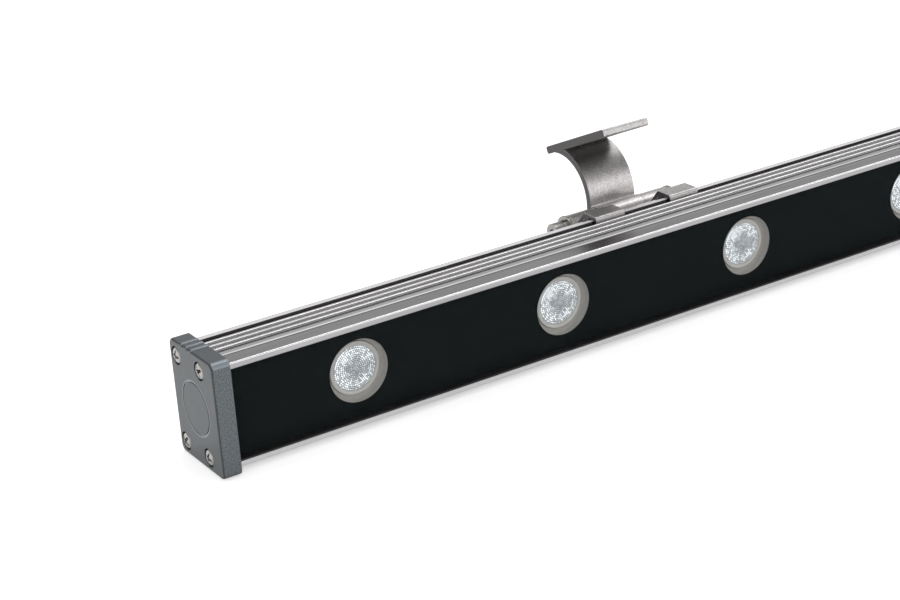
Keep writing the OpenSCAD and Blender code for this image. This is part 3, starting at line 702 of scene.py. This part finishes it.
def lens_points(centre, n=LENS_GRID):
    """One lens, its face towards -y. The face is a dome, bulge (1 - r^2 / R^2), with beads. Rings lead over
    the flange, down the cup, whose radius falls with t^0.6 from the face's to the end's, and into the
    pocket. Returns points as [x, y, z, u, v in mm, glow], the grid's faces and the rings' faces."""
    front = LENS_LOW.y
    u, v = disc_grid(n, FACE_R)
    fade = np.clip((FACE_R - np.hypot(u, v)) / BEAD_FADE, 0, 1)
    relief = beads(u, v, sizes().bead_pitch, sizes().bead_height) * fade
    dome = FACE_BULGE * (1 - (np.hypot(u, v) / FACE_R) ** 2)
    face = np.stack([centre + u, front + FACE_BACK - relief - dome, LENS_MIDDLE_Z + v], -1).reshape(-1, 3)
    t = np.linspace(1, 0, CUP_RINGS)
    pocket_end = LENS_DEPTH - POCKET_DEPTH
    cup = np.stack([
        CUP_END_R + (FACE_R - CUP_END_R) * t ** CUP_CURVE,
        FLANGE_DEPTH + (LENS_DEPTH - FLANGE_DEPTH) * (1 - t),
    ], -1)
    pocket = [[POCKET_R, LENS_DEPTH], [POCKET_R, pocket_end], [0, pocket_end]]
    radii, depths = np.concatenate([FLANGE_RINGS, cup, pocket]).T[:, :, None]
    direction = outward(face[:, 0] - centre, face[:, 2] - LENS_MIDDLE_Z, n)
    rings = np.stack([
        centre + radii * direction[:, 0],
        front + np.repeat(depths, len(direction), 1),
        LENS_MIDDLE_Z + radii * direction[:, 1],
    ], -1)
    points, *faces = closed_off(face, rings, n)
    glow = np.full(len(points), SIDE_GLOW)
    glow[:n * n] = reflector_glow(u / FACE_R, v / FACE_R).ravel()
    across, up = (points[:, 0] - centre) / MM, (points[:, 2] - LENS_MIDDLE_Z) / MM
    return np.column_stack([points, across, up, glow]), *faces


def cross_recess(u, v):
    """Depth of a cross recess with two tapered arms, where |across| < half width - taper |along|, deepest
    in the middle, and how dark the painted shade on its walls and floor lies, 0 to 1."""
    def arm(across, along):
        inside = np.clip((ARM_HALF_WIDTH - ARM_TAPER * along - across) / ARM_WALL, 0, 1)
        inside = inside * np.clip((ARM_LENGTH - along) / ARM_END_WALL, 0, 1)
        return inside * (ARM_DEPTH - ARM_RISE * along), inside

    u, v = np.abs(u), np.abs(v)
    one, two = arm(u, v), arm(v, u)
    return np.maximum(one[0], two[0]), np.maximum(one[1], two[1])


def screw_points(place, side, turn, n=SCREW_GRID):
    """One pan-head screw: its head is a dome h = H - R + sqrt(R^2 - r^2) with a cross recess, and rings
    make its shank. place is the middle of the seat, and side the sign of the way along x that the head
    points. Returns points as [x, y, z, darkness], the grid's faces and the rings' faces."""
    u, v = disc_grid(n, HEAD_R - HEAD_EDGE)
    c, s = math.cos(turn), math.sin(turn)
    depth, dark = cross_recess(c * u + s * v, c * v - s * u)
    height = HEAD_HEIGHT - HEAD_DOME_R + np.sqrt(HEAD_DOME_R ** 2 - u ** 2 - v ** 2) - depth
    direction = outward(u, v, n)
    radii, out = SCREW_RINGS.T[:, :, None]
    shank = np.stack([
        np.repeat(out, len(direction), 1), radii * direction[:, 0], radii * direction[:, 1],
    ], -1)
    points, *faces = closed_off(np.stack([height, u, v], -1).reshape(-1, 3), shank, n)
    points[:, 0] *= side
    rim = np.clip((np.hypot(u, v) - RIM_START) / RIM_FADE, 0, 1)
    painted_shade = np.full(len(points), SHANK_SHADE)
    painted_shade[:n * n] = np.maximum(dark, RIM_SHADE * rim).ravel()
    return np.column_stack([points + np.asarray(place), painted_shade]), *faces


# Operators


class WASHER_OT_bar(bpy.types.Operator):
    """Finish the extruded bar."""

    bl_idname = "washer.bar"
    bl_label = "Bar"

    def execute(self, context):
        dress("housing", anodised_bar(), sizes().edge_break, angle=12)
        return {"FINISHED"}


class WASHER_OT_front(bpy.types.Operator):
    """Finish the glass, its print and all the silicone."""

    bl_idname = "washer.front"
    bl_label = "Front"

    def execute(self, context):
        paint("front_glass", clear_glass())
        paint("glass_print", black_print())
        silicone = plain("black_silicone", (0.012, 0.012, 0.013), 0.5)
        for node in ("glass_seals", "left_cap_gasket", "right_cap_gasket", "gland_washer", "gland_seal"):
            paint(node, silicone)
        return {"FINISHED"}


class WASHER_OT_caps(bpy.types.Operator):
    """Finish the cast end caps and build their screws."""

    bl_idname = "washer.caps"
    bl_label = "End caps"

    def execute(self, context):
        casting, steel = cast_grey(), stainless()
        for side in SIDES:
            dress(side + "_end_cap", casting, sizes().cap_edge, segments=3)
            low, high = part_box(side + "_cap_screws")
            sign = -1 if side == "left" else 1
            seat = (low.x + HEAD_HEIGHT) if side == "left" else (high.x - HEAD_HEIGHT)
            across, up = (low.y + HEAD_R, high.y - HEAD_R), (low.z + HEAD_R, high.z - HEAD_R)
            places = [(seat, y, z) for y in across for z in up]
            points, faces = together([screw_points(p, sign, t) for p, t in zip(places, SCREW_TURNS)])
            screws = mesh_of("cap_screws", points[:, :3], faces, {"recess": points[:, 3]})
            new_piece(side + "_cap_screw_set", screws, "lamp", steel, side + "_cap_screws")
        return {"FINISHED"}


class WASHER_OT_lenses(bpy.types.Operator):
    """Build the beaded lenses, and finish their holders and the light sources behind them."""

    bl_idname = "washer.lenses"
    bl_label = "Lenses"

    def execute(self, context):
        points, faces = together([lens_points(x) for x in LED_X])
        layers = dict(zip(("lens_u", "lens_v", "glow"), points.T[3:]))
        lenses = mesh_of("lens_mouldings", points[:, :3], faces, layers)
        new_piece("lens_mouldings", lenses, "lamp", beaded_lens(), "lenses")
        dress("lens_holders", plain("holder_moulding", colours().holder, 0.45), MOULDED_EDGE)
        dress("leds", plain("phosphor", (0.75, 0.55, 0.1), 0.3))
        paint("led_board", plain("white_board", (0.7, 0.72, 0.7), 0.4))
        paint("board_screws", stainless("board_screw_steel"))
        return {"FINISHED"}


class WASHER_OT_driver(bpy.types.Operator):
    """Finish the driver inside the rear chamber."""

    bl_idname = "washer.driver"
    bl_label = "Driver"

    def execute(self, context):
        paint("driver_pad", plain("heat_pad", (0.3, 0.42, 0.5), 0.7))
        paint("driver_board", plain("green_board", (0.02, 0.16, 0.06), 0.4))
        paint("driver_parts", plain("component_black", (0.03, 0.03, 0.035), 0.5))
        paint("board_link_pins", plain("gold_pins", (0.8, 0.55, 0.2), 0.3, metallic=1.0))
        return {"FINISHED"}


class WASHER_OT_gland(bpy.types.Operator):
    """Finish the cable gland."""

    bl_idname = "washer.gland"
    bl_label = "Cable gland"

    def execute(self, context):
        nylon = plain("black_nylon", (0.02, 0.02, 0.022), 0.42)
        for node in ("gland_body", "gland_nut"):
            dress(node, nylon, MOULDED_EDGE)
        return {"FINISHED"}


class WASHER_OT_brackets(bpy.types.Operator):
    """Finish the clips, arms and their fasteners."""

    bl_idname = "washer.brackets"
    bl_label = "Brackets"

    def execute(self, context):
        satin, steel = satin_bracket(), stainless("bolt_steel", 0.7)
        for side in SIDES:
            for node in ("_clip", "_arm"):
                dress(side + node, satin, sizes().bracket_edge)
            for node in ("_nut_bar", "_clamp_screws", "_hinge_bolt", "_hinge_washers", "_hinge_nut"):
                dress(side + node, steel, FASTENER_EDGE)
        return {"FINISHED"}


# Studio

# The camera's place, its turn from +y towards +x, its tip downwards, its roll, its focal length in pixels
# of a picture 900 wide, and how near and far it sees.
CAMERA_PLACE = Vector((-501.7, -554.3, 299.6)) * MM
CAMERA_TURN, CAMERA_DOWN, CAMERA_ROLL = (math.radians(a) for a in (31.495, 22.680, -4.005))
FOCAL_PIXELS, SENSOR_WIDTH, PICTURE_WIDTH = 2100.745, 36, 900
NEAREST, FARTHEST = 0.01, 50

# Strength of the world as a lamp, and where it is mirrored: at the horizon, up the walls and overhead at
# the back. Then the directions, in z and in y, between which one goes over into the next.
SKY_FILL = 0.75
SKY_LOW, SKY_WALL, SKY_TOP = 1.0, 0.38, 0.75
WALL_HEIGHTS, TOP_HEIGHTS, TOWARDS_BACK = (0.12, 0.3), (0.45, 0.75), (-0.3, 0.15)

# The floor lies just under the caps. It glows, less in mirrors, so that its pale grey comes out white.
FLOOR_Z = CAP_LOW.z - 0.1 * MM
FLOOR_SIZE, FLOOR_GLOW, FLOOR_MIRRORED = 12, 0.5, 0.1

# Lamps as name, place, width and height, and power in watts. All aim at one point of the pictured half.
LAMP_AIM = Vector((-0.1, 0, 0.02))
LAMPS = (
    ("overhead_softbox", (0.25, 0.65, 1.5), (2.2, 1.6), 5),
    ("left_softbox", (-0.9, -1.1, 0.9), (0.3, 0.3), 2.0),
    ("top_strip", (0.72, 0.12, 1.3), (0.2, 1.0), 2.4),
    ("front_softbox", (0.66, -1.1, 0.45), (1.4, 0.5), 2.2),
)


def camera_matrix():
    """Turned from +y towards +x, tipped down and rolled about its own line of sight."""
    sideways, forward = math.sin(CAMERA_TURN), math.cos(CAMERA_TURN)
    level, fall = math.cos(CAMERA_DOWN), math.sin(CAMERA_DOWN)
    ahead = Vector((sideways * level, forward * level, -fall))
    right = Vector((forward, -sideways, 0))
    down = ahead.cross(right)
    c, s = math.cos(CAMERA_ROLL), math.sin(CAMERA_ROLL)
    right, down = c * right - s * down, s * right + c * down
    turn = Matrix((right, -down, -ahead)).transposed().to_4x4()
    return Matrix.Translation(CAMERA_PLACE) @ turn


def add_world():
    """White for the camera and through glass, even as a lamp, and graded by height where it is mirrored."""
    world = bpy.data.worlds.new("studio_world")
    bpy.context.scene.world = world
    world.use_nodes = True
    w = ShaderTree(world.node_tree)
    seen, mirrored = w.rays()
    _, y, z = w.axes(w.node("ShaderNodeTexCoord", out="Object"))
    overhead = z.smooth(*TOP_HEIGHTS) * y.smooth(*TOWARDS_BACK)
    wall = SKY_LOW + (SKY_WALL - SKY_LOW) * z.smooth(*WALL_HEIGHTS) + (SKY_TOP - SKY_WALL) * overhead
    strength = SKY_FILL + seen * (1 - SKY_FILL) + mirrored * (wall - SKY_FILL)
    light = w.node("ShaderNodeBackground", Color=(1, 1, 1), Strength=strength)
    w.node("ShaderNodeOutputWorld", Surface=light)


def add_floor():
    """A pale matte floor that keeps the lamp's shadow."""
    bpy.ops.mesh.primitive_plane_add(size=FLOOR_SIZE, location=(0, 0, FLOOR_Z))
    floor = bpy.context.object
    floor.name = "studio_floor"
    f = Finish("studio_floor")
    seen, mirrored = f.rays()
    matte = f.node("ShaderNodeBsdfDiffuse", Color=(0.8, 0.8, 0.8))
    strength = seen * FLOOR_GLOW + mirrored * FLOOR_MIRRORED
    glow = f.node("ShaderNodeEmission", Color=(1, 1, 1), Strength=strength)
    floor.data.materials.append(f.end(f.node("ShaderNodeAddShader", sockets={0: matte, 1: glow})))


def add_lamp(name, place, size, power):
    """A soft area lamp that aims at the pictured half."""
    data = bpy.data.lights.new(name, "AREA")
    data.shape, data.size, data.size_y = "RECTANGLE", *size
    data.energy = power
    lamp = bpy.data.objects.new(name, data)
    bpy.context.scene.collection.objects.link(lamp)
    lamp.location = place
    lamp.rotation_euler = (LAMP_AIM - Vector(place)).to_track_quat("-Z", "Y").to_euler()


def add_camera():
    """The camera that took the photograph."""
    data = bpy.data.cameras.new("photo_camera")
    data.sensor_width, data.lens = SENSOR_WIDTH, FOCAL_PIXELS * SENSOR_WIDTH / PICTURE_WIDTH
    data.clip_start, data.clip_end = NEAREST, FARTHEST
    camera = bpy.data.objects.new("photo_camera", data)
    bpy.context.scene.collection.objects.link(camera)
    camera.matrix_world = camera_matrix()
    bpy.context.scene.camera = camera


class WASHER_OT_studio(bpy.types.Operator):
    """Set the floor, the lamps, the world and the camera."""

    bl_idname = "washer.studio"
    bl_label = "Studio"

    def execute(self, context):
        add_world()
        add_floor()
        for lamp in LAMPS:
            add_lamp(*lamp)
        context.scene.view_settings.view_transform = "Standard"
        add_camera()
        return {"FINISHED"}


# Panel and registration

OPERATORS = (
    WASHER_OT_bar, WASHER_OT_front, WASHER_OT_caps, WASHER_OT_lenses, WASHER_OT_driver,
    WASHER_OT_gland, WASHER_OT_brackets, WASHER_OT_studio,
)


class WASHER_PT_panel(bpy.types.Panel):
    """Lists the sizes, the colours and the pieces."""

    bl_idname = "WASHER_PT_panel"
    bl_label = "Wall Washer"
    bl_space_type = "VIEW_3D"
    bl_region_type = "UI"
    bl_category = "Wall Washer"

    def draw(self, context):
        layout = self.layout
        for group in (sizes(), colours()):
            box = layout.box()
            for name in group.bl_rna.properties.keys():
                if name not in ("rna_type", "name"):
                    box.prop(group, name)
        for operator in OPERATORS:
            layout.operator(operator.bl_idname)


CLASSES = (WASHER_PG_sizes, WASHER_PG_colours, *OPERATORS, WASHER_PT_panel)


def register():
    for cls in CLASSES:
        bpy.utils.register_class(cls)
    bpy.types.Scene.washer_sizes = PointerProperty(type=WASHER_PG_sizes)
    bpy.types.Scene.washer_colours = PointerProperty(type=WASHER_PG_colours)


def unregister():
    del bpy.types.Scene.washer_colours
    del bpy.types.Scene.washer_sizes
    for cls in reversed(CLASSES):
        bpy.utils.unregister_class(cls)


def main():
    register()
    for operator in OPERATORS:
        group, name = operator.bl_idname.split(".")
        getattr(getattr(bpy.ops, group), name)()


if __name__ == "__main__":
    main()
